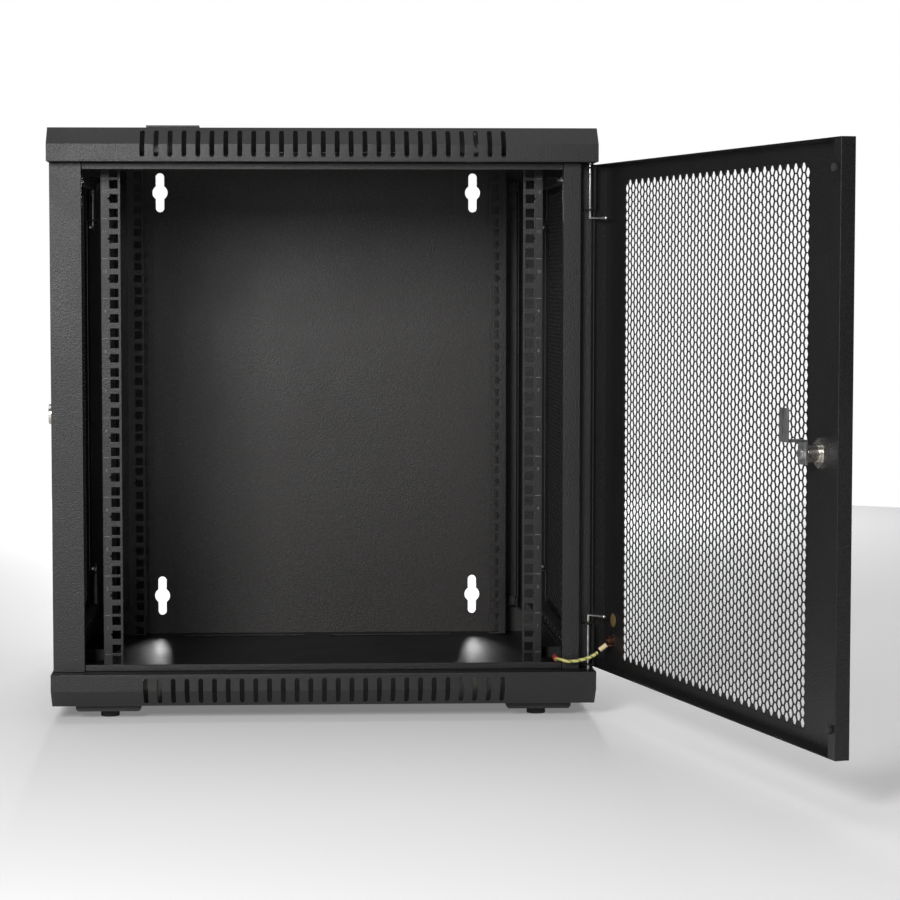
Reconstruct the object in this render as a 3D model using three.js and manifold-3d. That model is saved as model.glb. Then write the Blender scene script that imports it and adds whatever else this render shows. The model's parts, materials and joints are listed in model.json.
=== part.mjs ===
// A 12U wall-mounted 19-inch network rack cabinet, in millimetres, +Z up.
// While the cabinet is drawn, X runs from left to right, Y from the front plane of the two caps
// to the rear, and Z up from the underside of the bottom cap. At the end the whole cabinet is
// shifted, so that the origin is the centre of the rear panel's outer face.
import * as THREE from 'three';
import { mergeVertices } from 'three/addons/utils/BufferGeometryUtils.js';
import Module from 'manifold-3d';

const wasm = await Module();
wasm.setup();

// ---------------------------------------------------------------- driving dimensions
const WIDTH = 600;
const DEPTH = 600;
const HEIGHT = 635;
const SHEET = 1.5;               // thickness of the folded steel sheet
const GAP = 0.3;                 // assembly clearance between pieces that touch
const HALF_WIDTH = WIDTH / 2;
const MID_HEIGHT = HEIGHT / 2;

// Caps: a vertical facet, then a chamfer that slopes back to the roof or the floor
const CAP_FACET = 19;            // height of the vertical facet
const CAP_SLOPE = 18.5;          // height and depth of the chamfer
const CAP_LIP = 36;              // depth of the lip that the posts and the hinge pins meet
const CAP_REAR = DEPTH - SHEET - GAP;
const CAP_EDGE = HEIGHT - CAP_FACET - CAP_SLOPE;   // lower edge of the top cap
const SIDE_LIP = 19;             // width of the lips along the sides of the caps
const VENT = { count: 27, pitch: 15.1, width: 5, low: 5, high: 34 };

// Rack units of EIA-310
const UNIT = 44.45;
const UNITS = 12;
const SPARE_UNITS = 1;           // the rails are punched one unit further at each end
const HOLE_COLUMN = 465.1 / 2;   // square-hole centre line from the middle of the cabinet
const HOLE = 9.5;                // square cage-nut hole
const HOLE_STEP = 15.875;        // between the middle hole of a unit and the outer two
const UNIT_1 = 70.8;             // height of the middle hole of the lowest unit

// Rack rails
const RAIL = { inner: 225, outer: 247, thick: 2, depth: 31, low: 4, high: HEIGHT - 4 };
const FRONT_RAIL = 79;           // front face of the front rails, behind the front plane
const REAR_RAIL = 556;

// Frame
const POST = { front: 20, inner: 264, step: 283, recess: 36, back: 43, catch: 275 };
const REAR_POST = { front: 566, inner: 264, back: DEPTH - SHEET - 2 * GAP };
const BEAM = { inner: 284, outer: 296, front: 48, rear: 530, thick: 2, height: 12.5 };
const BEAM_LOW = CAP_EDGE - GAP - BEAM.height;     // lower face of the upper depth beams

// Front door, drawn closed: a shallow pan whose outer face is flush with the caps
// The flange on the hinge side is deeper than the other three and ends in a lip
const DOOR = { half: 298.5, low: 39.3, high: 595.7, pan: 14.3, skin: 1.2, hingePan: 18.2, lip: 7.5 };
const DOOR_TAB = { width: 14, height: 32 };        // corner tabs on the free side
const HINGE = { x: 293.2, y: 21.9 };
const DOOR_OPEN = THREE.MathUtils.degToRad(104.4);

// Spring pins of the door and the side panels
const PIN = { radius: 1.5, hole: 2.1, tip: 602, spring: [547, 586], coil: 2.4, collar: 1.6 };

// Swing side panels
const SIDE = { front: 38, rear: 560, low: 39.3, high: 595.7, skin: 1.2 };
const SIDE_HINGE = { x: 290, y: 548 };
const SIDE_LOCK = { y: 54, z: 321, barrel: 7.8, plug: 5, end: 274 };

// ---------------------------------------------------------------- materials
function finish(color, roughness, metalness) {
  return new THREE.MeshStandardMaterial({ color, roughness, metalness });
}
const POWDER_COAT = finish(0x17181a, 0.62, 0.1);
const ZINC = finish(0xb9babd, 0.35, 0.9);
const NICKEL = finish(0xc7c4bd, 0.25, 1.0);
const RUBBER = finish(0x101010, 0.9, 0.0);
const COPPER = finish(0x8a4a2a, 0.4, 0.9);
const WIRE_JACKET = finish(0x7d9a24, 0.5, 0.0);
const RED_SLEEVE = finish(0xa31c1c, 0.5, 0.0);
const CREAM_SLEEVE = finish(0xcdb98f, 0.5, 0.0);

// ---------------------------------------------------------------- solid helpers
function toSolid(geometry) {
  const bare = geometry.index ? geometry.toNonIndexed() : geometry.clone();
  bare.deleteAttribute('normal');
  bare.deleteAttribute('uv');
  const merged = mergeVertices(bare, 1e-4);
  return new wasm.Manifold(new wasm.Mesh({
    numProp: 3,
    vertProperties: new Float32Array(merged.attributes.position.array),
    triVerts: new Uint32Array(merged.index.array),
  }));
}

function toGeometry(solid) {
  const { vertProperties, triVerts } = solid.getMesh();
  const geometry = new THREE.BufferGeometry();
  geometry.setAttribute('position', new THREE.BufferAttribute(new Float32Array(vertProperties), 3));
  geometry.setIndex(new THREE.BufferAttribute(new Uint32Array(triVerts), 1));
  geometry.computeVertexNormals();
  return geometry;
}

const join = (solids) => solids.reduce((whole, piece) => whole.add(piece));
const cut = (solid, tools) => tools.reduce((rest, tool) => rest.subtract(tool), solid);

// A block between two corners
function block([x0, x1], [y0, y1], [z0, z1]) {
  const geometry = new THREE.BoxGeometry(x1 - x0, y1 - y0, z1 - z0);
  geometry.translate((x0 + x1) / 2, (y0 + y1) / 2, (z0 + z1) / 2);
  return toSolid(geometry);
}

function outline(points) {
  return new THREE.Shape(points.map(([u, v]) => new THREE.Vector2(u, v)));
}

// Extrudes a shape drawn in plan (X, Y) from one height to another
function prismZ(shape, z0, z1, curveSegments = 6) {
  const geometry = new THREE.ExtrudeGeometry(shape, { depth: z1 - z0, bevelEnabled: false, curveSegments });
  geometry.translate(0, 0, z0);
  return toSolid(geometry);
}

// Extrudes a shape drawn in front view (X, Z) from one depth to another
function prismY(shape, y0, y1, curveSegments = 6) {
  const geometry = new THREE.ExtrudeGeometry(shape, { depth: y1 - y0, bevelEnabled: false, curveSegments });
  geometry.rotateX(Math.PI / 2);
  geometry.translate(0, y1, 0);
  return toSolid(geometry);
}

// Extrudes a shape drawn in side view (Y, Z) from one X to another
function prismX(shape, x0, x1, curveSegments = 6) {
  const geometry = new THREE.ExtrudeGeometry(shape, { depth: x1 - x0, bevelEnabled: false, curveSegments });
  geometry.rotateX(Math.PI / 2);
  geometry.rotateZ(Math.PI / 2);
  geometry.translate(x0, 0, 0);
  return toSolid(geometry);
}

// A round bar from one point to another along X, Y or Z
function bar(from, to, radius, segments = 12) {
  const start = new THREE.Vector3(...from);
  const end = new THREE.Vector3(...to);
  const geometry = new THREE.CylinderGeometry(radius, radius, start.distanceTo(end), segments);
  const turn = new THREE.Quaternion().setFromUnitVectors(
    new THREE.Vector3(0, 1, 0), end.clone().sub(start).normalize());
  geometry.applyQuaternion(turn);
  geometry.translate(...start.add(end).multiplyScalar(0.5).toArray());
  return toSolid(geometry);
}

function ball(centre, radius) {
  const geometry = new THREE.SphereGeometry(radius, 10, 6);
  geometry.translate(...centre);
  return toSolid(geometry);
}

// A band of constant thickness to the left of a path of straight runs
function band(path, thick) {
  const points = path.map(([u, v]) => new THREE.Vector2(u, v));
  const runs = points.slice(1).map((p, i) => p.clone().sub(points[i]).normalize());
  const lefts = runs.map((run) => new THREE.Vector2(-run.y, run.x));
  const offset = points.map((p, i) => {
    const before = lefts[Math.max(i - 1, 0)];
    const after = lefts[Math.min(i, lefts.length - 1)];
    const mitre = before.clone().add(after).normalize();
    return p.clone().addScaledVector(mitre, thick / mitre.dot(after));
  });
  return new THREE.Shape([...points, ...offset.reverse()]);
}

function roundedRectangle(cx, cz, width, height, radius) {
  const [l, r, b, t] = [cx - width / 2, cx + width / 2, cz - height / 2, cz + height / 2];
  const shape = new THREE.Shape();
  shape.absarc(r - radius, b + radius, radius, -Math.PI / 2, 0);
  shape.absarc(r - radius, t - radius, radius, 0, Math.PI / 2);
  shape.absarc(l + radius, t - radius, radius, Math.PI / 2, Math.PI);
  shape.absarc(l + radius, b + radius, radius, Math.PI, 1.5 * Math.PI);
  return shape;
}

const mirrorX = (solid) => solid.mirror([1, 0, 0]);
const flipZ = (solid) => solid.mirror([0, 0, 1]).translate([0, 0, HEIGHT]);
const sided = (solid, side) => (side === 'left' ? mirrorX(solid) : solid);

// ---------------------------------------------------------------- the assembly
const cabinet = new THREE.Group();
cabinet.name = 'network_cabinet';
cabinet.position.set(0, -DEPTH, -MID_HEIGHT);

const door = new THREE.Group();
door.position.set(HINGE.x, HINGE.y, 0);
door.rotation.z = DOOR_OPEN;
cabinet.add(door);

function place(name, solid, material, parent = cabinet) {
  const mesh = new THREE.Mesh(toGeometry(solid), material);
  mesh.name = name;
  parent.add(mesh);
}

// Door pieces are drawn closed, in cabinet coordinates, and then hung on the hinge axis
function placeOnDoor(name, solid, material) {
  place(name, solid.translate([-HINGE.x, -HINGE.y, 0]), material, door);
}

// ---------------------------------------------------------------- caps
function ventSlots() {
  const slots = [];
  for (let i = 0; i < VENT.count; i += 1) {
    const x = (i - (VENT.count - 1) / 2) * VENT.pitch;
    const height = VENT.high - VENT.low;
    const middle = CAP_EDGE + VENT.low + height / 2;
    const shape = roundedRectangle(x, middle, VENT.width, height, VENT.width / 2.01);
    slots.push(prismY(shape, -1, CAP_SLOPE, 2));
  }
  return slots;
}

// Two cable entries near the rear of the floor, one in the middle of the roof
const FLOOR_ENTRY = { x: 97, width: 160, y0: 545, y1: 577 };
const ROOF_ENTRY = { x: 0, width: 220, y0: 520, y1: 577 };

function entryCut(entry, x) {
  return block([x - entry.width / 2, x + entry.width / 2], [entry.y0, entry.y1],
    [HEIGHT - 5, HEIGHT + 5]);
}

// The top cap; the bottom cap is the same pressing turned over
function cap(entries) {
  const profile = [[CAP_LIP, CAP_EDGE], [0, CAP_EDGE], [0, CAP_EDGE + CAP_FACET], [CAP_SLOPE, HEIGHT],
    [CAP_REAR, HEIGHT], [CAP_REAR, CAP_EDGE]];
  const folded = profile.slice(0, -1).reverse();
  const shell = prismX(band(folded, SHEET), -HALF_WIDTH, HALF_WIDTH);
  const cheekOutline = outline(profile.slice(1));
  const cheek = prismX(cheekOutline, HALF_WIDTH - SHEET, HALF_WIDTH);
  const sideLip = block([HALF_WIDTH - SIDE_LIP, HALF_WIDTH], [CAP_LIP - 1, CAP_REAR],
    [CAP_EDGE, CAP_EDGE + SHEET]);
  const pinHole = ({ x, y }) => bar([x, y, CAP_EDGE - 5], [x, y, CAP_EDGE + 5], PIN.hole);
  const sidePinHole = pinHole(SIDE_HINGE);
  const body = join([shell, cheek, mirrorX(cheek), sideLip, mirrorX(sideLip)]);
  const pinHoles = [pinHole(HINGE), sidePinHole, mirrorX(sidePinHole)];
  return cut(body, [...pinHoles, ...ventSlots(), ...entries]);
}

place('top_cap', cap([entryCut(ROOF_ENTRY, ROOF_ENTRY.x)]), POWDER_COAT);
place('bottom_cap',
  flipZ(cap([entryCut(FLOOR_ENTRY, -FLOOR_ENTRY.x), entryCut(FLOOR_ENTRY, FLOOR_ENTRY.x)])), POWDER_COAT);

// Blanking plates lie on the outside of the cable entries
function entryPlate(entry, x) {
  const margin = 7;
  return block([x - entry.width / 2 - margin, x + entry.width / 2 + margin],
    [entry.y0 - margin, entry.y1 + margin], [HEIGHT + GAP, HEIGHT + GAP + SHEET]);
}

place('roof_entry_plate', entryPlate(ROOF_ENTRY, ROOF_ENTRY.x), POWDER_COAT);
place('floor_entry_plate_left', flipZ(entryPlate(FLOOR_ENTRY, -FLOOR_ENTRY.x)), POWDER_COAT);
place('floor_entry_plate_right', flipZ(entryPlate(FLOOR_ENTRY, FLOOR_ENTRY.x)), POWDER_COAT);

const ROOF_CAP = { x: -164, width: 58, y0: 24, y1: 62, thick: 2.4 };
place('roof_blanking_cap', block([ROOF_CAP.x - ROOF_CAP.width / 2, ROOF_CAP.x + ROOF_CAP.width / 2],
  [ROOF_CAP.y0, ROOF_CAP.y1], [HEIGHT + GAP, HEIGHT + GAP + ROOF_CAP.thick]), POWDER_COAT);

// ---------------------------------------------------------------- frame
const BETWEEN_CAPS = [HEIGHT - CAP_EDGE + GAP, CAP_EDGE - GAP];

// A box section, whose rear lip is the catch for the side panel's cam
function plainPost() {
  const path = [[POST.inner, 33], [POST.inner, POST.front], [HALF_WIDTH - SHEET, POST.front],
    [HALF_WIDTH - SHEET, POST.back], [POST.catch, POST.back]];
  return prismZ(band(path, SHEET), ...BETWEEN_CAPS);
}

// On the hinge side the post steps back, and the door's edge swings into the step
function steppedPost() {
  const path = [[POST.inner, 33], [POST.inner, POST.front], [POST.step, POST.front],
    [POST.step, POST.recess], [HALF_WIDTH - SHEET, POST.recess], [HALF_WIDTH - SHEET, POST.back],
    [POST.catch, POST.back]];
  return prismZ(band(path, SHEET), ...BETWEEN_CAPS);
}

place('front_post_left', sided(plainPost(), 'left'), POWDER_COAT);
place('front_post_right', steppedPost(), POWDER_COAT);

function rearPost() {
  const { front, inner, back } = REAR_POST;
  const path = [[HALF_WIDTH, front], [HALF_WIDTH, back], [inner, back], [inner, front + 9]];
  return prismZ(band(path, SHEET), ...BETWEEN_CAPS);
}

// The strips that close the front opening above and below the rails
function crossStrip() {
  const reach = POST.inner - GAP;
  const face = block([-reach, reach], [24, 24 + SHEET], [CAP_EDGE - 7.5, CAP_EDGE - GAP]);
  const shelf = block([-reach, reach], [24, 38], [CAP_EDGE - GAP - SHEET, CAP_EDGE - GAP]);
  return join([face, shelf]);
}

place('front_lintel', crossStrip(), POWDER_COAT);
place('front_sill', flipZ(crossStrip()), POWDER_COAT);

// Depth beams: channels under the caps' side lips, slotted so that the rails can stand at any depth
function depthBeam() {
  const { inner, outer, front, rear, thick, height } = BEAM;
  const top = BEAM_LOW + height;
  const path = [[outer, top], [inner, top], [inner, BEAM_LOW], [outer, BEAM_LOW]];
  const channel = prismY(band(path, thick), front, rear);
  const slots = [];
  const pitch = 36;
  for (let y = front + 24; y < rear - 20; y += pitch) {
    slots.push(block([inner - 1, inner + thick + 1], [y, y + 14],
      [BEAM_LOW + height / 2 - 2.5, BEAM_LOW + height / 2 + 2.5]));
  }
  return cut(channel, slots);
}

for (const side of ['left', 'right']) {
  place(`rear_post_${side}`, sided(rearPost(), side), POWDER_COAT);
  place(`top_beam_${side}`, sided(depthBeam(), side), POWDER_COAT);
  place(`bottom_beam_${side}`, sided(flipZ(depthBeam()), side), POWDER_COAT);
}

// ---------------------------------------------------------------- rack rails
// The middle hole of each unit has a small arrow notch that points outwards
function holeOutline(z, withArrow) {
  const [l, r, b, t] = [HOLE_COLUMN - HOLE / 2, HOLE_COLUMN + HOLE / 2, z - HOLE / 2, z + HOLE / 2];
  const arrow = withArrow ? [[r, z - 1.6], [r + 2.2, z], [r, z + 1.6]] : [];
  return outline([[l, b], [r, b], ...arrow, [r, t], [l, t]]);
}

function railHoles(faceY) {
  const holes = [];
  for (let unit = -SPARE_UNITS; unit < UNITS + SPARE_UNITS; unit += 1) {
    for (const step of [-1, 0, 1]) {
      const z = UNIT_1 + unit * UNIT + step * HOLE_STEP;
      holes.push(prismY(holeOutline(z, step === 0), faceY - 1, faceY + RAIL.thick + 1));
    }
  }
  return holes;
}

// A tab near the rail's upper end reaches out to the frame: the front rails are bolted to the
// beams, the rear rails to the rear posts
function railTab(faceY, reach) {
  const back = faceY + RAIL.depth;
  const height = [BEAM_LOW, BEAM_LOW + BEAM.height];
  const web = block([RAIL.outer - RAIL.thick, reach], [back - RAIL.thick, back], height);
  const ear = block([reach - RAIL.thick, reach], [back - 16, back], height);
  return join([web, ear]);
}

function rackRail(faceY, reach) {
  const path = [[RAIL.inner, faceY], [RAIL.outer, faceY], [RAIL.outer, faceY + RAIL.depth]];
  const angle = prismZ(band(path, RAIL.thick), RAIL.low, RAIL.high);
  const tab = railTab(faceY, reach);
  return cut(join([angle, tab, flipZ(tab)]), railHoles(faceY));
}

for (const side of ['left', 'right']) {
  place(`front_rail_${side}`, sided(rackRail(FRONT_RAIL, BEAM.inner - GAP), side), POWDER_COAT);
  place(`rear_rail_${side}`, sided(rackRail(REAR_RAIL, REAR_POST.inner - GAP), side), POWDER_COAT);
}

// ---------------------------------------------------------------- rear panel
const KEYHOLE = { x: 205.5, z: 266, head: 10, slot: 5.5, length: 51 };
const PAD = { width: 46, height: 70, radius: 6, rise: 1.2 };

function keyholeCut(x, z) {
  const slot = roundedRectangle(x, z, 2 * KEYHOLE.slot, KEYHOLE.length, KEYHOLE.slot / 1.01);
  const head = bar([x, DEPTH - 10, z], [x, DEPTH + 10, z], KEYHOLE.head, 20);
  return join([prismY(slot, DEPTH - 10, DEPTH + 10), head]);
}

function rearPanel() {
  const plate = block([1 - HALF_WIDTH, HALF_WIDTH - 1], [DEPTH - SHEET, DEPTH], [1, HEIGHT - 1]);
  const pads = [];
  const keyholes = [];
  for (const x of [-KEYHOLE.x, KEYHOLE.x]) {
    for (const z of [MID_HEIGHT - KEYHOLE.z, MID_HEIGHT + KEYHOLE.z]) {
      pads.push(prismY(roundedRectangle(x, z, PAD.width, PAD.height, PAD.radius),
        DEPTH - SHEET - PAD.rise, DEPTH - SHEET / 2, 4));
      keyholes.push(keyholeCut(x, z));
    }
  }
  return cut(join([plate, ...pads]), keyholes);
}

place('rear_panel', rearPanel(), POWDER_COAT);

// ---------------------------------------------------------------- feet
const FOOT = { x: 239, front: 60, rear: 540, radius: 10.5, height: 9 };
const FOOT_PLATE = { width: 72, depth: 60, height: 7.5, chamfer: 2.5 };

// A pressed plate under the bottom cap, with its lower edges drawn in
function footBracket(x, y) {
  const { width, depth, height, chamfer } = FOOT_PLATE;
  const [wide, low] = [width / 2, -GAP - height];
  const section = outline([[x - wide, -GAP], [x - wide, low + chamfer], [x - wide + chamfer, low],
    [x + wide - chamfer, low], [x + wide, low + chamfer], [x + wide, -GAP]]);
  return prismY(section, y - depth / 2, y + depth / 2);
}

function foot(x, y) {
  const top = -2 * GAP - FOOT_PLATE.height;
  return bar([x, y, top - FOOT.height], [x, y, top], FOOT.radius, 24);
}

for (const side of ['left', 'right']) {
  for (const end of ['front', 'rear']) {
    const x = side === 'left' ? -FOOT.x : FOOT.x;
    place(`foot_bracket_${end}_${side}`, footBracket(x, FOOT[end]), POWDER_COAT);
    place(`foot_${end}_${side}`, foot(x, FOOT[end]), RUBBER);
  }
}

// ---------------------------------------------------------------- spring pins
// A spring pin stands on an axis with its tip up in a cap's hole; its handle is bent to one side
const PIN_HANDLE = { z: 537, knob: 2.2, door: [-20, -11], side: [0, -38] };

function springPin(x, y, reach) {
  const corner = [x, y, PIN_HANDLE.z];
  const end = [x + reach[0], y + reach[1], PIN_HANDLE.z];
  const shaft = bar(corner, [x, y, PIN.tip], PIN.radius);
  const elbow = ball(corner, PIN.radius);
  const handle = bar(corner, end, PIN.radius);
  const knob = ball(end, PIN_HANDLE.knob);
  const collarLow = PIN.spring[1] + GAP;
  const collar = bar([x, y, collarLow], [x, y, collarLow + PIN.collar], PIN.coil);
  return join([shaft, elbow, handle, knob, collar]);
}

// The coil spring as a closed sleeve between the lower ear and the collar
function springSleeve(x, y) {
  const bore = PIN.radius + GAP;
  const profile = [[bore, PIN.spring[0]], [PIN.coil, PIN.spring[0]], [PIN.coil, PIN.spring[1]],
    [bore, PIN.spring[1]], [bore, PIN.spring[0]]].map(([r, z]) => new THREE.Vector2(r, z));
  const geometry = new THREE.LatheGeometry(profile, 16);
  geometry.rotateX(Math.PI / 2);
  geometry.translate(x, y, 0);
  return toSolid(geometry);
}

// Two ears with holes that guide the pin, welded to a door or a side panel
function pinEars(x, y, [earX0, earX1], [earY0, earY1]) {
  const ear = (z) => block([earX0, earX1], [earY0, earY1], [z, z + SHEET]);
  const hole = bar([x, y, PIN_HANDLE.z], [x, y, PIN.tip], PIN.radius + GAP);
  return [ear(PIN.spring[0] - GAP - SHEET), ear(DOOR.high - 3 - SHEET)].map((e) => cut(e, [hole]));
}

// ---------------------------------------------------------------- front door
const DOOR_LOCK = { x: -238.3, z: 311.5, bore: 8.6 };

function doorPan() {
  const { half, low, high, pan, skin, hingePan, lip } = DOOR;
  const tray = block([-half, half], [0, pan], [low, high]);
  const inside = block([skin - half, half - skin], [skin, pan - skin], [low + skin, high - skin]);
  const mouth = block([skin - half, half - skin], [pan - 3, pan + 1], [low + skin, high - skin]);
  const flange = block([half - skin, half], [pan - 1, hingePan], [low, high]);
  const hingeLip = block([half - lip, half], [hingePan - skin, hingePan], [low, high]);
  const bore = bar([DOOR_LOCK.x, -1, DOOR_LOCK.z], [DOOR_LOCK.x, pan, DOOR_LOCK.z], DOOR_LOCK.bore, 24);
  const tab = block([-half, DOOR_TAB.width - half], [pan - skin, pan], [high - DOOR_TAB.height, high]);
  return join([cut(tray, [inside, mouth, bore]), flange, hingeLip, tab, flipZ(tab)]);
}

// The door's pin brackets stand behind its lip on the hinge side
function doorPinBrackets() {
  const foot = [HINGE.x - 7, DOOR.half];
  const upright = block(foot, [DOOR.hingePan - SHEET / 2, DOOR.hingePan + SHEET / 2],
    [PIN.spring[0] - GAP - SHEET, DOOR.high - 3]);
  const ears = pinEars(HINGE.x, HINGE.y, foot, [DOOR.hingePan, HINGE.y + 6]);
  const upper = join([upright, ...ears]);
  return [upper, flipZ(upper)];
}

placeOnDoor('door_panel', join([doorPan(), ...doorPinBrackets()]), POWDER_COAT);

const upperDoorPin = springPin(HINGE.x, HINGE.y, PIN_HANDLE.door);
placeOnDoor('door_pin_upper', upperDoorPin, ZINC);
placeOnDoor('door_pin_lower', flipZ(upperDoorPin), ZINC);
placeOnDoor('door_spring_upper', springSleeve(HINGE.x, HINGE.y), ZINC);
placeOnDoor('door_spring_lower', flipZ(springSleeve(HINGE.x, HINGE.y)), ZINC);

// Rubber bumpers in the two corners of the free side
function doorBumper() {
  const x = DOOR_TAB.width - DOOR.half - 5;
  const z = DOOR.high - DOOR_TAB.height + 5;
  return bar([x, DOOR.pan + GAP, z], [x, DOOR.pan + GAP + 3.5, z], 3.8);
}

placeOnDoor('door_bumper_upper', doorBumper(), RUBBER);
placeOnDoor('door_bumper_lower', flipZ(doorBumper()), RUBBER);

// Cam lock: a barrel clamped in the sheet by a nut, and a plug that carries the cranked cam
const LOCK = { barrel: 8.3, head: 11, plug: 6, end: 17.5, plugEnd: 18.1 };
const LOCK_NUT = { radius: 14.1, thick: 3 };
const KEYWAY = { width: 1.8, height: 7.2, depth: 4 };
const CAM = { base: 10, rise: 13, crank: 19, reach: 42, half: 8.5, thick: 2, hole: 2.5 };
const CAM_SCREW = { head: 4.6, shank: 2.2, headThick: 3 };

function lockBarrel() {
  const at = (y) => [DOOR_LOCK.x, y, DOOR_LOCK.z];
  const tube = bar(at(-1), at(LOCK.end), LOCK.barrel, 24);
  const head = bar(at(-3), at(-GAP), LOCK.head, 24);
  const bore = bar(at(-5), at(LOCK.end + 5), LOCK.plug + GAP, 24);
  return cut(join([tube, head]), [bore]);
}

function lockPlug() {
  const at = (y) => [DOOR_LOCK.x, y, DOOR_LOCK.z];
  const plug = bar(at(-3.4), at(LOCK.plugEnd), LOCK.plug, 24);
  const keyway = block([DOOR_LOCK.x - KEYWAY.width / 2, DOOR_LOCK.x + KEYWAY.width / 2], [-6, KEYWAY.depth],
    [DOOR_LOCK.z - KEYWAY.height / 2, DOOR_LOCK.z + KEYWAY.height / 2]);
  return cut(plug, [keyway]);
}

function lockNut() {
  const nut = new THREE.CylinderGeometry(LOCK_NUT.radius, LOCK_NUT.radius, LOCK_NUT.thick, 6);
  nut.translate(DOOR_LOCK.x, DOOR.skin + GAP + LOCK_NUT.thick / 2, DOOR_LOCK.z);
  const bore = bar([DOOR_LOCK.x, 0, DOOR_LOCK.z], [DOOR_LOCK.x, 9, DOOR_LOCK.z], LOCK.barrel + GAP, 24);
  return cut(toSolid(nut), [bore]);
}

// The cam points up: base on the plug's end, a crank away from the door, and the tongue
function lockCam() {
  const { x, z } = DOOR_LOCK;
  const base = LOCK.plugEnd + GAP;
  const tongue = base + CAM.crank;
  const path = [[tongue, z + CAM.reach], [tongue, z + CAM.rise], [base, z + CAM.rise], [base, z - CAM.base]];
  const strip = prismX(band(path, CAM.thick), x - CAM.half, x + CAM.half);
  const screwHole = bar([x, base - 5, z], [x, base + 5, z], CAM.hole);
  return cut(strip, [screwHole]);
}

function lockScrew() {
  const at = (y) => [DOOR_LOCK.x, y, DOOR_LOCK.z];
  const underHead = LOCK.plugEnd + GAP + CAM.thick + GAP;
  const head = bar(at(underHead), at(underHead + CAM_SCREW.headThick), CAM_SCREW.head, 6);
  const shank = bar(at(LOCK.plugEnd + GAP / 2), at(underHead + 1), CAM_SCREW.shank);
  return join([head, shank]);
}

placeOnDoor('lock_barrel', lockBarrel(), NICKEL);
placeOnDoor('lock_nut', lockNut(), NICKEL);
placeOnDoor('lock_plug', lockPlug(), NICKEL);
placeOnDoor('lock_cam', lockCam(), ZINC);
placeOnDoor('lock_screw', lockScrew(), ZINC);

// ---------------------------------------------------------------- side panels
// Welded pin brackets hold the spring pins inside the rear edge of the panel
function sidePinBracket() {
  const back = [SIDE_HINGE.y - 8, SIDE_HINGE.y + 8];
  const upright = block([HALF_WIDTH - SIDE.skin - SHEET, HALF_WIDTH - 0.5], back,
    [PIN.spring[0] - GAP - SHEET, DOOR.high - 3]);
  const ears = pinEars(SIDE_HINGE.x, SIDE_HINGE.y, [SIDE_HINGE.x - 6, HALF_WIDTH - 0.5], back);
  return join([upright, ...ears]);
}

function sidePanel() {
  const skin = block([HALF_WIDTH - SIDE.skin, HALF_WIDTH], [SIDE.front, SIDE.rear], [SIDE.low, SIDE.high]);
  const at = (x) => [x, SIDE_LOCK.y, SIDE_LOCK.z];
  const lockBore = bar(at(HALF_WIDTH - 5), at(HALF_WIDTH + 5), SIDE_LOCK.barrel + GAP, 24);
  const bracket = sidePinBracket();
  return cut(join([skin, bracket, flipZ(bracket)]), [lockBore]);
}

// The side locks reach inwards past the post; the cam points up when open
function sideLockBarrel() {
  const at = (x) => [x, SIDE_LOCK.y, SIDE_LOCK.z];
  const tube = bar(at(SIDE_LOCK.end), at(HALF_WIDTH + 1), SIDE_LOCK.barrel, 24);
  const head = bar(at(HALF_WIDTH + GAP), at(HALF_WIDTH + 3.6), LOCK.head, 24);
  const bore = bar(at(SIDE_LOCK.end - 5), at(HALF_WIDTH + 20), SIDE_LOCK.plug + GAP, 24);
  return cut(join([tube, head]), [bore]);
}

// Turned forwards, the cam stands behind the post's rear lip
function sideLockCam() {
  const { y, z, end, plug } = SIDE_LOCK;
  const at = (x) => [x, y, z];
  const camFace = end - GAP;
  const shaft = bar(at(camFace - 1), at(HALF_WIDTH + 4), plug, 24);
  const keyway = block([HALF_WIDTH, HALF_WIDTH + 8], [y - 3, y + 3], [z - 0.8, z + 0.8]);
  const tongue = block([camFace - 2, camFace], [y - 7, y + 7], [z - 9, z + 17]);
  const screw = bar(at(camFace - 5), at(camFace - 1), 4.6, 6);
  return cut(join([shaft, tongue, screw]), [keyway]);
}

const sidePin = springPin(SIDE_HINGE.x, SIDE_HINGE.y, PIN_HANDLE.side);
for (const side of ['left', 'right']) {
  place(`side_panel_${side}`, sided(sidePanel(), side), POWDER_COAT);
  place(`side_lock_barrel_${side}`, sided(sideLockBarrel(), side), NICKEL);
  place(`side_lock_cam_${side}`, sided(sideLockCam(), side), NICKEL);
  place(`side_pin_upper_${side}`, sided(sidePin, side), ZINC);
  place(`side_pin_lower_${side}`, sided(flipZ(sidePin), side), ZINC);
  place(`side_spring_upper_${side}`, sided(springSleeve(SIDE_HINGE.x, SIDE_HINGE.y), side), ZINC);
  place(`side_spring_lower_${side}`, sided(flipZ(springSleeve(SIDE_HINGE.x, SIDE_HINGE.y)), side), ZINC);
}

// ---------------------------------------------------------------- earth bond
// A short earth wire runs from a boot above the sill, past the post, to a stud on the open door
const EARTH_STUD = { x: HINGE.x - 24, z: 72, radius: 2 };
const EARTH_NUT = { radius: 5, low: DOOR.skin + 2.6, high: DOOR.skin + 6.6 };
const EARTH_RING = { radius: 5.4, low: DOOR.skin + 1, high: DOOR.skin + 2.2 };
const SLEEVE = { radius: 2.7, low: [HINGE.x - 22.5, 8.6, 67], high: [HINGE.x - 20, 15.9, 61] };
const NECK = { radius: 1.3, low: [HINGE.x - 23.6, 2.8, 65.9], high: [HINGE.x - 22.1, 9.7, 65.9] };
const BOOT = { x: 258, z: 48.6, y0: 24, y1: 40, radius: 3 };
const WIRE_RADIUS = 1.9;
const WIRE_ROUTE = [[258, 23.2, 48.6], [259.6, 18.8, 48.8], [265, 15.2, 48.2], [271, 13.2, 47.2],
  [279, 10.2, 48.2], [288.5, 6.6, 51], [296.5, 4.4, 54.6], [302, 3.8, 58.4]];

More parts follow.
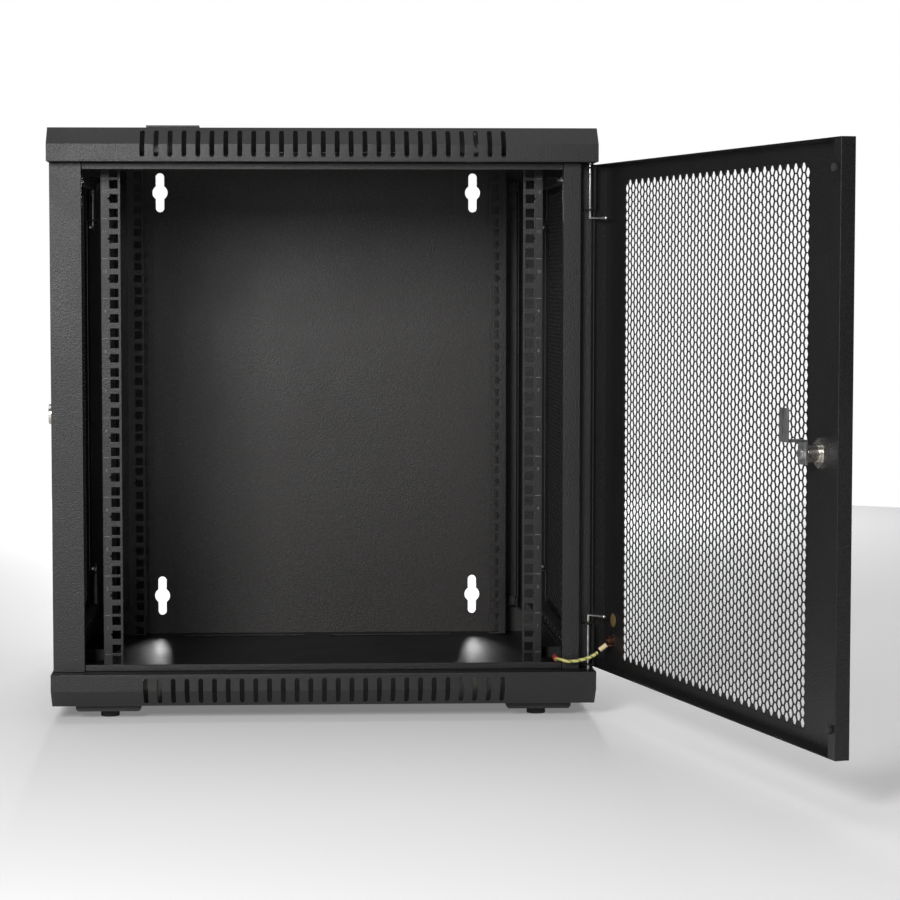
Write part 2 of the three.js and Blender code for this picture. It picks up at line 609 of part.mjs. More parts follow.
function earthWire() {
  const route = new THREE.CatmullRomCurve3(WIRE_ROUTE.map((p) => new THREE.Vector3(...p)));
  const section = new THREE.Shape();
  section.absarc(0, 0, WIRE_RADIUS, 0, 2 * Math.PI);
  return toSolid(new THREE.ExtrudeGeometry(section, {
    steps: 20, extrudePath: route, bevelEnabled: false, curveSegments: 4,
  }));
}

function earthNut() {
  const at = (y) => [EARTH_STUD.x, y, EARTH_STUD.z];
  const nut = bar(at(EARTH_NUT.low), at(EARTH_NUT.high), EARTH_NUT.radius, 6);
  const stud = bar(at(DOOR.skin + GAP), at(EARTH_NUT.high + 2), EARTH_STUD.radius);
  return join([nut, stud]);
}

// The lug: a ring under the nut, and a neck that goes up into the sleeve
function earthTerminal() {
  const at = (y) => [EARTH_STUD.x, y, EARTH_STUD.z];
  const ring = bar(at(EARTH_RING.low), at(EARTH_RING.high), EARTH_RING.radius, 20);
  const neck = join([ball(NECK.low, NECK.radius), bar(NECK.low, NECK.high, NECK.radius)]);
  const studRoom = bar(at(0), at(DOOR.skin + 4), EARTH_STUD.radius + GAP);
  const nutRoom = bar(at(EARTH_NUT.low - GAP), at(EARTH_NUT.high + GAP), EARTH_NUT.radius + GAP, 20);
  return cut(join([ring, neck]), [studRoom, nutRoom]);
}

function earthSleeve() {
  const neckRoom = bar(NECK.low, NECK.high, NECK.radius + GAP);
  const neckTip = ball(NECK.high, NECK.radius + GAP);
  const at = (y) => [EARTH_STUD.x, y, EARTH_STUD.z];
  const nutRoom = bar(at(0), at(EARTH_NUT.high + GAP), EARTH_NUT.radius + GAP, 20);
  return cut(bar(SLEEVE.low, SLEEVE.high, SLEEVE.radius, 16), [neckRoom, neckTip, nutRoom]);
}

place('earth_boot', bar([BOOT.x, BOOT.y0, BOOT.z], [BOOT.x, BOOT.y1, BOOT.z], BOOT.radius), RED_SLEEVE);
place('earth_wire', earthWire(), WIRE_JACKET);
placeOnDoor('earth_terminal', earthTerminal(), COPPER);
placeOnDoor('earth_sleeve', earthSleeve(), CREAM_SLEEVE);
placeOnDoor('door_earth_nut', earthNut(), COPPER);

export default cabinet;
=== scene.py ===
"""Looks of a 12U network rack cabinet: real perforations, coil springs, rail markings,
the earth wire, and procedural finishes on every piece. Metres, in the frame of the CAD model."""

import json
import math

import bmesh
import bpy
from mathutils import Matrix, Vector


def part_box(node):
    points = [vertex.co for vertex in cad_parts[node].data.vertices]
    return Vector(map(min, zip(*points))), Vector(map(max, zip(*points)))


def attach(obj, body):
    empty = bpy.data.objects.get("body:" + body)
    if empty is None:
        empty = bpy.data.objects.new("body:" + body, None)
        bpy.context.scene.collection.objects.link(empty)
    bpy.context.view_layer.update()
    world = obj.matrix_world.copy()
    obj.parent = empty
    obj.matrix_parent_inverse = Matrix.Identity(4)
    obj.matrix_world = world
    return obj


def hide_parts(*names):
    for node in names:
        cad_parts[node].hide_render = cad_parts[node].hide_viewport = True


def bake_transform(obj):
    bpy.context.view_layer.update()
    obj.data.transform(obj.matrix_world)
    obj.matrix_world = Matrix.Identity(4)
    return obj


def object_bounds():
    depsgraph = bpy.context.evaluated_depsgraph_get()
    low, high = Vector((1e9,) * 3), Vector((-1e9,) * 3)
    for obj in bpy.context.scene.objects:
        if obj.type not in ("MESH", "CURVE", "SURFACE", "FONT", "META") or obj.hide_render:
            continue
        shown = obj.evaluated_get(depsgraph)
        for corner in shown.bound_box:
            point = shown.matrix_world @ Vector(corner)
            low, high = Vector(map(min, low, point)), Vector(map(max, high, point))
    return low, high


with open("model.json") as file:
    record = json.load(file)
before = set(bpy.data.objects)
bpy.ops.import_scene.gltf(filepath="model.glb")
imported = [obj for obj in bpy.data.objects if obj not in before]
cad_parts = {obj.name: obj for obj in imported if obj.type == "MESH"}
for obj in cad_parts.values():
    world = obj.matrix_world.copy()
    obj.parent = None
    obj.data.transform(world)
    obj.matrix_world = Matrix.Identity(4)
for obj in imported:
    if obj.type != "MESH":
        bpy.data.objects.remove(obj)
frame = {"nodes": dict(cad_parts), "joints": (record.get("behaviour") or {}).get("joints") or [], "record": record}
CAD_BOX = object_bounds()

# ------------------------------------------------------------------ driving dimensions
MM = 0.001
DEPTH = 0.600                    # front plane of the caps to the wall
HEIGHT = 0.635
UNIT = 0.04445                   # one rack unit
UNITS = 12
UNIT_1 = 0.0708                  # middle hole of the lowest unit, above the underside


def at(x, y, z):
    """A point given in mm from the middle, the front plane and the underside of the cabinet."""
    return Vector((x * MM, y * MM - DEPTH, z * MM - HEIGHT / 2))


def joint(name):
    return next(j for j in frame["joints"] if j["name"] == name)


# The door's pieces are drawn closed and then swung open about its hinge
HINGE = Vector(joint("door_hinge")["pos_m"])
DOOR_OPEN = math.radians(-joint("door_hinge")["range_deg"][0])
SWING = Matrix.Translation(HINGE) @ Matrix.Rotation(DOOR_OPEN, 4, "Z") @ Matrix.Translation(-HINGE)


# ------------------------------------------------------------------ camera
EYE = at(-42.7, -2821.2, 469.9)
FOCAL_LENGTH = 103.44            # mm, on a sensor 36 mm wide
SENSOR_WIDTH = 36
SIDE_SHIFT = 0.0667              # the lens's axis lies this part of the width left of the middle
YAW, PITCH, ROLL = (math.radians(degrees) for degrees in (2.33, 3.776, 0.03))


def camera():
    """The viewpoint: almost 3 m in front of the cabinet, above its middle, looking slightly down."""
    lens = bpy.data.cameras.new("camera")
    lens.sensor_width = SENSOR_WIDTH
    lens.lens = FOCAL_LENGTH
    lens.shift_x = SIDE_SHIFT
    lens.clip_end = 50
    eye = bpy.data.objects.new("camera", lens)
    look = Matrix.Rotation(-YAW, 4, "Z") @ Matrix.Rotation(math.pi / 2 - PITCH, 4, "X")
    eye.matrix_world = Matrix.Translation(EYE) @ look @ Matrix.Rotation(-ROLL, 4, "Z")
    bpy.context.scene.collection.objects.link(eye)
    bpy.context.scene.camera = eye


camera()


# ------------------------------------------------------------------ mesh helpers
def new_object(name, mesh):
    piece = bpy.data.objects.new(name, mesh)
    bpy.context.scene.collection.objects.link(piece)
    return piece


def mesh_from(name, vertices, faces):
    mesh = bpy.data.meshes.new(name)
    mesh.from_pydata([tuple(v) for v in vertices], [], faces)
    mesh.validate()
    mesh.update()
    return mesh


def smooth(mesh, angle=35):
    """Smooth shading, with edges sharper than the angle left crisp."""
    mesh.shade_smooth()
    mesh.set_sharp_from_angle(angle=math.radians(angle))


def tube(name, points, radius, sides=12):
    """A closed round tube that follows a line of points."""
    points = [Vector(p) for p in points]
    tangents = [(points[min(i + 1, len(points) - 1)] - points[max(i - 1, 0)]).normalized()
                for i in range(len(points))]
    normal = tangents[0].orthogonal().normalized()
    vertices = []
    for point, tangent in zip(points, tangents):
        normal = (normal - tangent * normal.dot(tangent)).normalized()
        side = tangent.cross(normal)
        for k in range(sides):
            turn = 2 * math.pi * k / sides
            vertices.append(point + radius * (math.cos(turn) * normal + math.sin(turn) * side))
    faces = [tuple(range(sides))[::-1], tuple(range(len(vertices) - sides, len(vertices)))]
    for i in range(len(points) - 1):
        for k in range(sides):
            a, b = i * sides + k, i * sides + (k + 1) % sides
            faces.append((a, b, b + sides, a + sides))
    mesh = mesh_from(name, vertices, faces)
    smooth(mesh, 50)
    return mesh


def spline(points, per_span=8):
    """A Catmull-Rom curve through the points."""
    p = [Vector(q) for q in points]
    p = [2 * p[0] - p[1], *p, 2 * p[-1] - p[-2]]
    curve = []
    for a, b, c, d in zip(p, p[1:], p[2:], p[3:]):
        for i in range(per_span):
            t = i / per_span
            curve.append(0.5 * (2 * b + (c - a) * t + (2 * a - 5 * b + 4 * c - d) * t * t
                                + (3 * b - a - 3 * c + d) * t ** 3))
    return [*curve, p[-2]]


def box_mesh(name, low, high):
    (x0, y0, z0), (x1, y1, z1) = low, high
    corners = [(x, y, z) for x in (x0, x1) for y in (y0, y1) for z in (z0, z1)]
    faces = [(0, 1, 3, 2), (4, 6, 7, 5), (0, 4, 5, 1), (2, 3, 7, 6), (0, 2, 6, 4), (1, 5, 7, 3)]
    return mesh_from(name, corners, faces)


def join_meshes(name, meshes):
    """One mesh from several."""
    whole = bmesh.new()
    for mesh in meshes:
        whole.from_mesh(mesh)
    joined = bpy.data.meshes.new(name)
    whole.to_mesh(joined)
    whole.free()
    return joined


# ------------------------------------------------------------------ materials
class Finish:
    """A node material with a Principled shader and a few helpers."""

    def __init__(self, name, colour, roughness, metallic=0.0):
        self.material = bpy.data.materials.new(name)
        self.material.use_nodes = True
        self.nodes = self.material.node_tree.nodes
        self.links = self.material.node_tree.links
        self.shader = self.nodes["Principled BSDF"]
        self.shader.inputs["Base Color"].default_value = (*colour, 1)
        self.shader.inputs["Roughness"].default_value = roughness
        self.shader.inputs["Metallic"].default_value = metallic
        self.place = self.nodes.new("ShaderNodeTexCoord").outputs["Object"]

    def noise(self, scale, detail=3.0, roughness=0.5, stretch=None):
        source = self.place
        if stretch:
            mapping = self.nodes.new("ShaderNodeMapping")
            mapping.inputs["Scale"].default_value = stretch
            self.links.new(source, mapping.inputs["Vector"])
            source = mapping.outputs["Vector"]
        node = self.nodes.new("ShaderNodeTexNoise")
        node.inputs["Scale"].default_value = scale
        node.inputs["Detail"].default_value = detail
        node.inputs["Roughness"].default_value = roughness
        self.links.new(source, node.inputs["Vector"])
        return node.outputs["Fac"]

    def range(self, value, low, high, out_low, out_high):
        node = self.nodes.new("ShaderNodeMapRange")
        for socket, number in zip(("From Min", "From Max", "To Min", "To Max"),
                                  (low, high, out_low, out_high)):
            node.inputs[socket].default_value = number
        self.links.new(value, node.inputs["Value"])
        return node.outputs["Result"]

    def mix(self, factor, first, second):
        node = self.nodes.new("ShaderNodeMix")
        node.data_type = "RGBA"
        self.links.new(factor, node.inputs["Factor"])
        for socket, value in ((node.inputs["A"], first), (node.inputs["B"], second)):
            if isinstance(value, tuple):
                socket.default_value = (*value, 1)
            else:
                self.links.new(value, socket)
        return node.outputs["Result"]

    def bump(self, *layers):
        """Each layer is a height and its depth in metres."""
        normal = None
        for height, depth in layers:
            node = self.nodes.new("ShaderNodeBump")
            node.inputs["Strength"].default_value = 1.0
            node.inputs["Distance"].default_value = depth
            self.links.new(height, node.inputs["Height"])
            if normal:
                self.links.new(normal, node.inputs["Normal"])
            normal = node.outputs["Normal"]
        self.links.new(normal, self.shader.inputs["Normal"])

    def set(self, socket, value):
        self.links.new(value, self.shader.inputs[socket])


def powder_coat(name, base, lift):
    """Black powder coat with a fine sand texture, and a faint cloudiness where it has been handled."""
    finish = Finish(name, base, 0.5)
    grain = finish.noise(850, 1.0, 0.5)
    orange_peel = finish.noise(420, 2.0)
    cloud = finish.noise(9, 4.0, 0.6)
    speckle = finish.range(grain, 0.45, 0.68, 0.0, 1.0)
    lighter = tuple(c * lift for c in base)
    cloudy = finish.mix(finish.range(cloud, 0.3, 0.7, 0.0, 1.0), base, tuple(c * 1.25 for c in base))
    finish.set("Base Color", finish.mix(speckle, cloudy, lighter))
    finish.set("Roughness", finish.range(cloud, 0.3, 0.7, 0.38, 0.48))
    finish.bump((grain, 0.0003), (orange_peel, 0.0002))
    finish.shader.inputs["Specular IOR Level"].default_value = 0.45
    return finish.material


def plated(name, colour, roughness, tint=None):
    """Bright plating: faint streaks in one direction, small blotches of dullness."""
    finish = Finish(name, colour, roughness, 1.0)
    streaks = finish.noise(260, 3.0, 0.6, stretch=(1, 1, 0.08))
    blotch = finish.noise(90, 4.0, 0.6)
    darker = tuple(c * 0.8 for c in colour)
    finish.set("Base Color", finish.mix(finish.range(blotch, 0.35, 0.7, 0.0, 1.0), colour, tint or darker))
    finish.set("Roughness", finish.range(streaks, 0.3, 0.7, roughness * 0.7, roughness * 1.4))
    finish.bump((streaks, 0.00002))
    return finish.material


def moulded(name, colour, roughness, grain_scale=900, depth=0.00006):
    """Rubber or plastic with a fine matt grain."""
    finish = Finish(name, colour, roughness)
    grain = finish.noise(grain_scale, 3.0, 0.6)
    wear = finish.noise(60, 4.0, 0.6)
    finish.set("Base Color", finish.mix(finish.range(wear, 0.35, 0.7, 0.0, 0.8), colour,
                                        tuple(min(1, c * 1.3 + 0.004) for c in colour)))
    finish.set("Roughness", finish.range(grain, 0.3, 0.7, roughness * 0.9, min(1.0, roughness * 1.1)))
    finish.bump((grain, depth))
    return finish.material


def striped_jacket():
    """The pale yellow jacket of the earth wire with a thin green stripe."""
    finish = Finish("wire_jacket", (0.1, 0.3, 0.05), 0.45)
    wave = finish.nodes.new("ShaderNodeTexWave")
    wave.wave_type = "BANDS"
    wave.bands_direction = "DIAGONAL"
    wave.inputs["Scale"].default_value = 90
    wave.inputs["Distortion"].default_value = 0.6
    finish.links.new(finish.place, wave.inputs["Vector"])
    stripe = finish.range(wave.outputs["Fac"], 0.20, 0.28, 0.0, 1.0)
    finish.set("Base Color", finish.mix(stripe, (0.13, 0.24, 0.06), (0.60, 0.50, 0.17)))
    finish.bump((finish.noise(700, 2.0), 0.00003))
    return finish.material


MATERIALS = {
    "powder_coat": powder_coat("powder_coat", (0.0050, 0.0045, 0.0046), 3.4),
    "rail_coat": powder_coat("rail_coat", (0.0068, 0.0062, 0.0064), 3.2),
    "nickel_plate": plated("nickel_plate", (0.72, 0.69, 0.64), 0.24),
    "zinc_plate": plated("zinc_plate", (0.66, 0.66, 0.67), 0.32),
    "spring_steel": plated("spring_steel", (0.62, 0.62, 0.62), 0.3),
    "rubber": moulded("rubber", (0.018, 0.018, 0.018), 0.8),
    "copper": plated("copper", (0.30, 0.14, 0.10), 0.35, tint=(0.2, 0.09, 0.06)),
    "wire_jacket": striped_jacket(),
    "red_sleeve": moulded("red_sleeve", (0.35, 0.03, 0.03), 0.45),
    "cream_sleeve": moulded("cream_sleeve", (0.62, 0.50, 0.30), 0.5),
    "gold_label": plated("gold_label", (0.62, 0.45, 0.20), 0.5),
    "print_white": moulded("print_white", (0.16, 0.16, 0.17), 0.6),
}


# The rear panel's coat is a shade lighter than the rest: painted light, standing for the brighter light that falls
# on the back wall
REAR_LIT_COAT = powder_coat("rear_painted_light_coat", (0.0190, 0.0172, 0.0162), 2.4)


def dress(piece, slot):
    piece.data.materials.clear()
    piece.data.materials.append(MATERIALS[slot])


# ------------------------------------------------------------------ CAD nodes
FOLD = 0.35 * MM                 # rounding of folded and punched sheet, and of rubber
MACHINED = 0.12 * MM             # rounding of the small turned and stamped pieces
SAME_POINT = 0.01 * MM           # corners of facets this close are one corner
FLAT_WEIGHT = 100                # how strongly the big faces set the shading beside an edge


def round_edges(piece, width, sharper_than):
    """Rounds the edges that are sharper than an angle in degrees."""
    bevel = piece.modifiers.new("edges", "BEVEL")
    bevel.width = width
    bevel.segments = 2
    bevel.limit_method = "ANGLE"
    bevel.angle_limit = math.radians(sharper_than)
    bevel.use_clamp_overlap = False


def join_facets(piece):
    weld = piece.modifiers.new("weld", "WELD")
    weld.merge_threshold = SAME_POINT


def keep_faces_flat(piece):
    """Shades a piece smoothly round its edges, and evenly over its flat faces."""
    piece.data.shade_smooth()
    flats = piece.modifiers.new("flats", "WEIGHTED_NORMAL")
    flats.weight = FLAT_WEIGHT


def dress_cad_nodes():
    """Every CAD node gets its finish, and all but the flat rear sheet get rounded edges."""
    slots = {s["node"]: s["material_slot"] for s in frame["record"]["subparts"]}
    for name, node in frame["nodes"].items():
        node.data.materials.clear()
        # the rear panel takes the lighter coat, which is painted light for the bright back wall
        node.data.materials.append(REAR_LIT_COAT if name == "rear_panel" else MATERIALS[slots[name]])
        if name == "rear_panel":
            continue
        join_facets(node)
        round_edges(node, FOLD if slots[name] in ("powder_coat", "rail_coat", "rubber") else MACHINED,
                    sharper_than=40)
        keep_faces_flat(node)


dress_cad_nodes()


# ------------------------------------------------------------------ perforated sheet
HEX_PITCH = 9.8 * MM             # between neighbouring holes, across their flats
HEX_WEB = 1.25 * MM
SKIN = 1.2 * MM
BORDER = 2                       # rings of solid cells around the holes, trimmed straight


def field_size(columns, rows):
    """Width and height of a perforated field with its plain margin of one web all round."""
    column = HEX_PITCH * math.cos(math.pi / 6)
    hole = (HEX_PITCH - HEX_WEB) / math.sqrt(3)
    return (columns - 1) * column + 2 * (hole + HEX_WEB), (rows + 0.5) * HEX_PITCH + HEX_WEB


def honeycomb(name, columns, rows):
    """A sheet in the XZ plane, from the origin, with hexagonal holes in staggered columns."""
    width, height = field_size(columns, rows)
    column = HEX_PITCH * math.cos(math.pi / 6)
    hole = (HEX_PITCH - HEX_WEB) / math.sqrt(3)
    x0 = hole + HEX_WEB
    z0 = (HEX_PITCH + HEX_WEB) / 2
    vertices, index, faces = [], {}, []

    def corner(i, j, angle, layer):
        key = (i, j, angle % 360, layer)
        if key not in index:
            turn = math.radians(angle)
            index[key] = len(vertices)
            vertices.append((x0 + (i - BORDER) * column + hole * math.cos(turn), layer * SKIN,
                             z0 + (j - BORDER + 0.5 * (i % 2)) * HEX_PITCH + hole * math.sin(turn)))
        return index[key]

    for i in range(columns + 2 * BORDER):
        for j in range(rows + 2 * BORDER):
            is_hole = BORDER <= i < BORDER + columns and BORDER <= j < BORDER + rows
            up = (i, j + 1)
            right_up = (i + 1, j + i % 2)
            right_down = (i + 1, j + i % 2 - 1)
            webs = [[(i, j, 60), (i, j, 120), (*up, 240), (*up, 300)],
                    [(i, j, 0), (i, j, 60), (*right_up, 180), (*right_up, 240)],
                    [(i, j, 300), (i, j, 0), (*right_down, 120), (*right_down, 180)],
                    [(i, j, 0), (*right_up, 240), (*right_down, 120)],
                    [(i, j, 60), (*up, 300), (*right_up, 180)]]
            if not is_hole:
                webs.append([(i, j, angle) for angle in range(0, 360, 60)])
            for web in webs:
                ring = [corner(*c, 0) for c in web]
                faces += [ring, [corner(*c, 1) for c in web][::-1]]
            for angle in range(0, 360, 60) if is_hole else ():
                faces.append([corner(i, j, angle, 0), corner(i, j, angle, 1),
                              corner(i, j, angle + 60, 1), corner(i, j, angle + 60, 0)])
    sheet = bmesh.new()
    mesh = mesh_from(name, vertices, faces)
    sheet.from_mesh(mesh)
    for point, outward in (((0, 0, 0), (-1, 0, 0)), ((width, 0, 0), (1, 0, 0)),
                           ((0, 0, 0), (0, 0, -1)), ((0, 0, height), (0, 0, 1))):
        bmesh.ops.bisect_plane(sheet, geom=sheet.verts[:] + sheet.edges[:] + sheet.faces[:],
                               plane_co=point, plane_no=outward, clear_outer=True)
    bmesh.ops.recalc_face_normals(sheet, faces=sheet.faces)
    sheet.to_mesh(mesh)
    sheet.free()
    return mesh


def with_window(mesh, low, high):
    """The mesh with a box cut out of it, and its edges rounded."""
    piece = new_object("pan", mesh)
    cutter = new_object("cutter", box_mesh("cutter", low, high))
    join_facets(piece)
    cut = piece.modifiers.new("cut", "BOOLEAN")
    cut.object = cutter
    cut.solver = "EXACT"
    round_edges(piece, FOLD, sharper_than=50)
    bpy.context.view_layer.update()
    result = bpy.data.meshes.new_from_object(piece.evaluated_get(bpy.context.evaluated_depsgraph_get()))
    for unused in (piece, cutter):
        bpy.data.objects.remove(unused)
    return result


def leaf(name, parts, slot, body, node):
    """One piece of sheet that stands for a CAD node."""
    piece = new_object(name, join_meshes(name, parts))
    keep_faces_flat(piece)
    dress(piece, slot)
    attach(piece, body)
    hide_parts(node)


DOOR_FIELD = (53, 53)            # columns and rows of holes
DOOR_FIELD_MIDDLE = (277, 315.3)  # from the hinge axis and above the underside, mm
SIDE_FIELD = (52, 53)
SIDE_FIELD_MIDDLE = (298, 317.5)  # behind the front plane and above the underside, mm
SIDE_FACE = 300 * MM             # outer face of the side panels, from the middle
CUT_FRONT = 4 * MM               # reach of the door's window cutter, from the door's outer face
CUT_BACK = 6 * MM
SIDE_CUT = 4 * MM                # depth of a side's window cutter, before its clearance
SIDE_CUT_CLEARANCE = 1 * MM      # added on both of its faces


def door_leaf():
    """The door pan with its perforated field."""
    from_hinge, above_underside = DOOR_FIELD_MIDDLE
    width, height = field_size(*DOOR_FIELD)
    low_z = at(0, 0, above_underside).z - height / 2
    corner = Vector((HINGE.x - from_hinge * MM - width / 2, -DEPTH, low_z))
    pan = frame["nodes"]["door_panel"].data.copy()
    pan.transform(SWING.inverted())
    pan = with_window(pan, corner - Vector((0, CUT_FRONT, 0)), corner + Vector((width, CUT_BACK, height)))
    pan.transform(SWING)
    field = honeycomb("door_field", *DOOR_FIELD)
    field.transform(SWING @ Matrix.Translation(corner))
    leaf("door_leaf", [pan, field], "powder_coat", "door", "door_panel")


def side_leaf(side, sign):
    """A side panel with its perforated field, from near the lock to near the pins."""
    behind_front, above_underside = SIDE_FIELD_MIDDLE
    width, height = field_size(*SIDE_FIELD)
    middle = at(0, behind_front, above_underside)
    corner = Vector((sign * SIDE_FACE, middle.y - width / 2, middle.z - height / 2))
    low_x, high_x = sorted((sign * SIDE_FACE, sign * (SIDE_FACE - SIDE_CUT)))
    clearance = Vector((SIDE_CUT_CLEARANCE, 0, 0))
    low = Vector((low_x, corner.y, corner.z)) - clearance
    high = Vector((high_x, corner.y + width, corner.z + height)) + clearance
    pan = with_window(frame["nodes"][f"side_panel_{side}"].data.copy(), low, high)
    field = honeycomb(f"side_field_{side}", *SIDE_FIELD)
    field.transform(Matrix.Rotation(math.pi / 2, 4, "Z"))
    skin_out = SIDE_FACE if sign > 0 else -SIDE_FACE + SKIN
    field.transform(Matrix.Translation((skin_out, corner.y, corner.z)))
    leaf(f"side_leaf_{side}", [pan, field], "powder_coat", f"side_{side}", f"side_panel_{side}")


door_leaf()
side_leaf("left", -1)
side_leaf("right", 1)


# ------------------------------------------------------------------ coil springs
SPRING_WIRE = 0.28 * MM          # radius
FREE_TURNS = 24
CLOSED_TURNS = 2                 # at each end
STEPS_PER_TURN = 16


def coil_spring(node_name):
    """A compression spring with closed ends, in the room that its CAD sleeve fills."""
    low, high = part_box(node_name)
    centre = (low + high) / 2
    radius = (high.x - low.x) / 2 - SPRING_WIRE
    closed_rise = 2 * SPRING_WIRE
    free_rise = high.z - low.z - 2 * SPRING_WIRE - 2 * CLOSED_TURNS * closed_rise
    points = []
    for i in range((FREE_TURNS + 2 * CLOSED_TURNS) * STEPS_PER_TURN + 1):
        turn = i / STEPS_PER_TURN
        closed = min(turn, CLOSED_TURNS) + max(0, turn - CLOSED_TURNS - FREE_TURNS)
        free = min(max(turn - CLOSED_TURNS, 0), FREE_TURNS) / FREE_TURNS
        z = low.z + SPRING_WIRE + closed_rise * closed + free * free_rise
        angle = 2 * math.pi * turn
        points.append((centre.x + radius * math.cos(angle), centre.y + radius * math.sin(angle), z))
    piece = new_object(node_name.replace("spring", "coil"), tube(node_name, points, SPRING_WIRE, sides=6))
    dress(piece, "spring_steel")
    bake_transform(piece)
    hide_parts(node_name)


for level in ("upper", "lower"):
    coil_spring(f"door_spring_{level}")
    for side in ("left", "right"):
        coil_spring(f"side_spring_{level}_{side}")


# ------------------------------------------------------------------ earth wire
WIRE_RADIUS = 1.9 * MM           # half the diameter that the cord is given
WIRE_ROUTE = [at(*p) for p in [(258, 23.2, 48.6), (259.6, 18.8, 48.8), (265, 15.2, 48.2), (271, 13.2, 47.2),
                               (279, 10.2, 48.2), (288.5, 6.6, 51), (296.5, 4.4, 54.6), (302, 3.8, 58.4)]]


def earth_wire():
    """The short lead bends between the frame and the door."""
    route = spline(WIRE_ROUTE, 10)
    piece = new_object("earth_lead", tube("earth_lead", route, WIRE_RADIUS, sides=14))
    dress(piece, "wire_jacket")
    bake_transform(piece)
    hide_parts("earth_wire")


earth_wire()


# ------------------------------------------------------------------ rail markings
PRINT_OUT = 242.6 * MM           # middle of the numbers and ticks, from the cabinet's middle
PRINT_LIFT = 0.06 * MM           # from the rail's face to the middle of the ink
HALF_INK = 0.03 * MM             # half the thickness of the ink
NUMBER_SIZE = 5.0 * MM
NUMBER_RISE = 7.6 * MM           # above the unit's middle hole
TICK = (3.1 * MM, 0.28 * MM)     # half its length and half its width


def text_mesh(text, size):
    curve = bpy.data.curves.new("number", "FONT")
    curve.body = text
    curve.size = size
    curve.align_x = "CENTER"
    curve.align_y = "CENTER"
    curve.extrude = HALF_INK
    carrier = new_object("number", curve)
    mesh = bpy.data.meshes.new_from_object(carrier)
    bpy.data.objects.remove(carrier)
    return mesh


def rail_print(name, face_y, sign):
    """Unit numbers beside the arrow holes, and a tick where one unit ends and the next begins."""
    x = sign * PRINT_OUT
    y = face_y - PRINT_LIFT
    half_tick, half_line = TICK
    stand_up = Matrix.Rotation(math.pi / 2, 4, "X")
    marks = []
    for unit in range(UNITS):
        z = UNIT_1 - HEIGHT / 2 + unit * UNIT
        number = text_mesh(str(unit + 1), NUMBER_SIZE)
        number.transform(Matrix.Translation((x, y, z + NUMBER_RISE)) @ stand_up)
        marks.append(number)
    for unit in range(UNITS + 1):
        z = UNIT_1 - HEIGHT / 2 + (unit - 0.5) * UNIT
        marks.append(box_mesh("tick", (x - half_tick, y - HALF_INK, z - half_line),
                              (x + half_tick, y + HALF_INK, z + half_line)))
    piece = new_object(name, join_meshes(name, marks))
    dress(piece, "print_white")
    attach(piece, "cabinet")


for side, sign in (("left", -1), ("right", 1)):
    rail_print(f"front_rail_print_{side}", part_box(f"front_rail_{side}")[0].y, sign)


# ------------------------------------------------------------------ small door pieces
def disc_mesh(name, centre, radius, thickness, segments=40):
    """A thin round plate standing on the door's inner face, with a softened edge."""
    x, y, z = centre
    steps = [(radius, 0), (radius, 0.6 * thickness), (radius - 0.4 * thickness, thickness)]
    vertices, faces = [], []
    for r, lift in steps:
        for k in range(segments):
            turn = 2 * math.pi * k / segments
            vertices.append((x + r * math.cos(turn), y + lift, z + r * math.sin(turn)))
    for ring in range(len(steps) - 1):
        for k in range(segments):
            a, b = ring * segments + k, ring * segments + (k + 1) % segments
            faces.append((a, b, b + segments, a + segments))
    faces.append(tuple(range(segments)))
    faces.append(tuple(range(len(vertices) - segments, len(vertices)))[::-1])
    mesh = mesh_from(name, vertices, faces)
    smooth(mesh, 40)
    return mesh


def on_door(name, mesh, slot):
    mesh.transform(SWING)
    piece = new_object(name, mesh)
    dress(piece, slot)
    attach(piece, "door")


# Name, finish, distance from the hinge axis, height, radius and thickness, mm
DOOR_DISCS = (
    ("stud_washer", "rubber", 24, 72, 6.6, 0.25),
    ("lock_gasket", "rubber", 531.5, 311.5, 14.6, 0.25),
    ("gold_label", "gold_label", 22.7, 94, 7.5, 0.12),
)


def door_trim():
    """The washer, the gasket and the sticker on the door's inner face."""
    for name, slot, from_hinge, height, radius, thickness in DOOR_DISCS:
        centre = (HINGE.x - from_hinge * MM, -DEPTH + SKIN, at(0, 0, height).z)
        on_door(name, disc_mesh(name, centre, radius * MM, thickness * MM), slot)


door_trim()


# ------------------------------------------------------------------ floor and light
AMBIENT = 0.12                   # what the white room adds to the lamps
FLOOR_RADIUS = 2.4
FLOOR_SIDES = 96
FLOOR_GLOW = 0.18                # light that the floor gives off besides what it reflects


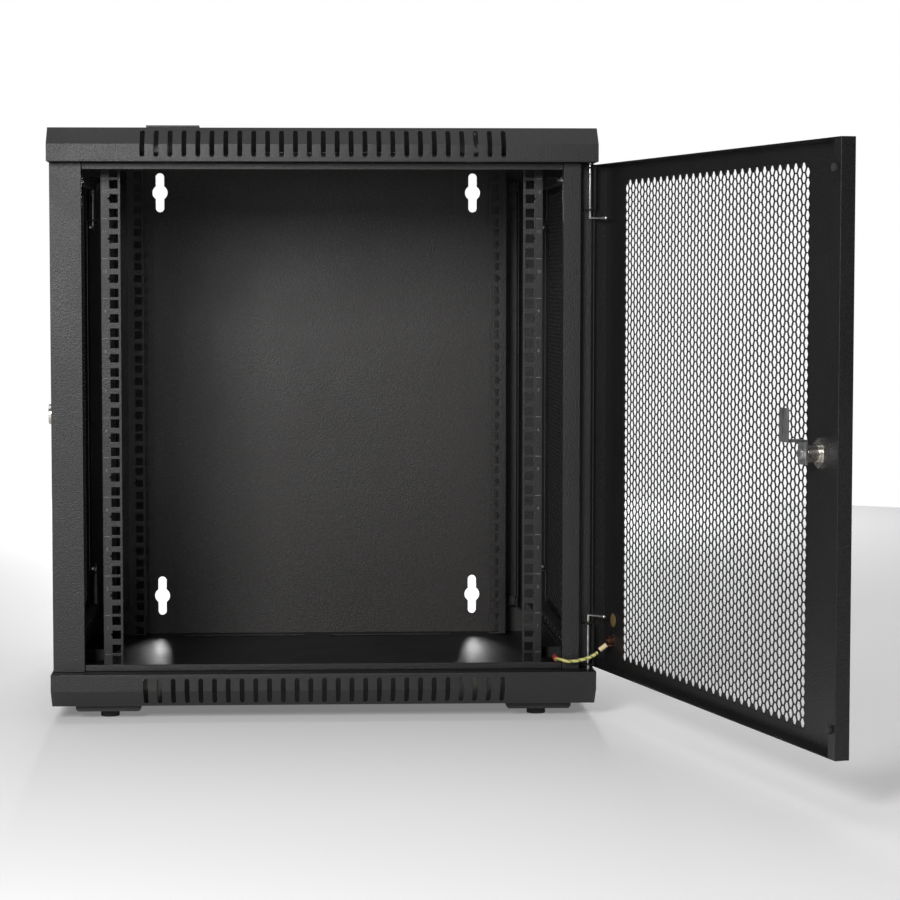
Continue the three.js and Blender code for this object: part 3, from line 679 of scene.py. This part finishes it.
def studio():
    """A white floor and a white background, in a room that is dimmer than it looks."""
    floor_z = CAD_BOX[0].z
    corners = [(FLOOR_RADIUS * math.cos(a), FLOOR_RADIUS * math.sin(a), floor_z)
               for a in (2 * math.pi * i / FLOOR_SIDES for i in range(FLOOR_SIDES))]
    floor = new_object("floor", mesh_from("floor", corners, [tuple(range(FLOOR_SIDES))]))
    surface = Finish("studio_floor", (0.8, 0.8, 0.8), 0.6)
    surface.bump((surface.noise(40, 3.0), 0.0001))
    surface.shader.inputs["Emission Color"].default_value = (1, 1, 1, 1)
    surface.shader.inputs["Emission Strength"].default_value = FLOOR_GLOW
    floor.data.materials.append(surface.material)
    world = bpy.data.worlds.new("studio")
    world.use_nodes = True
    nodes, links = world.node_tree.nodes, world.node_tree.links
    room = nodes["Background"]
    room.inputs["Strength"].default_value = AMBIENT
    backdrop = nodes.new("ShaderNodeBackground")
    for background in (room, backdrop):
        background.inputs["Color"].default_value = (1, 1, 1, 1)
    choose = nodes.new("ShaderNodeMixShader")
    links.new(nodes.new("ShaderNodeLightPath").outputs["Is Camera Ray"], choose.inputs["Fac"])
    links.new(room.outputs["Background"], choose.inputs[1])
    links.new(backdrop.outputs["Background"], choose.inputs[2])
    links.new(choose.outputs["Shader"], nodes["World Output"].inputs["Surface"])
    bpy.context.scene.world = world
    bpy.context.scene.view_settings.view_transform = "Standard"


def soft_light(name, location, target, size, power):
    light = bpy.data.lights.new(name, "AREA")
    light.shape = "SQUARE"
    light.size = size
    light.energy = power
    lamp = bpy.data.objects.new(name, light)
    lamp.location = location
    lamp.rotation_euler = (Vector(target) - Vector(location)).to_track_quat("-Z", "Y").to_euler()
    bpy.context.scene.collection.objects.link(lamp)


studio()
soft_light("key", (-0.68, -2.8, 0.68), target=(0, -0.3, 0.1), size=0.6, power=46)
soft_light("back", (0.06, 2.6, 0.55), target=(0, 0, -0.2), size=0.9, power=40)
soft_light("overhead", (0, 0, 3.2), target=(0, 0, 0), size=3.2, power=36)
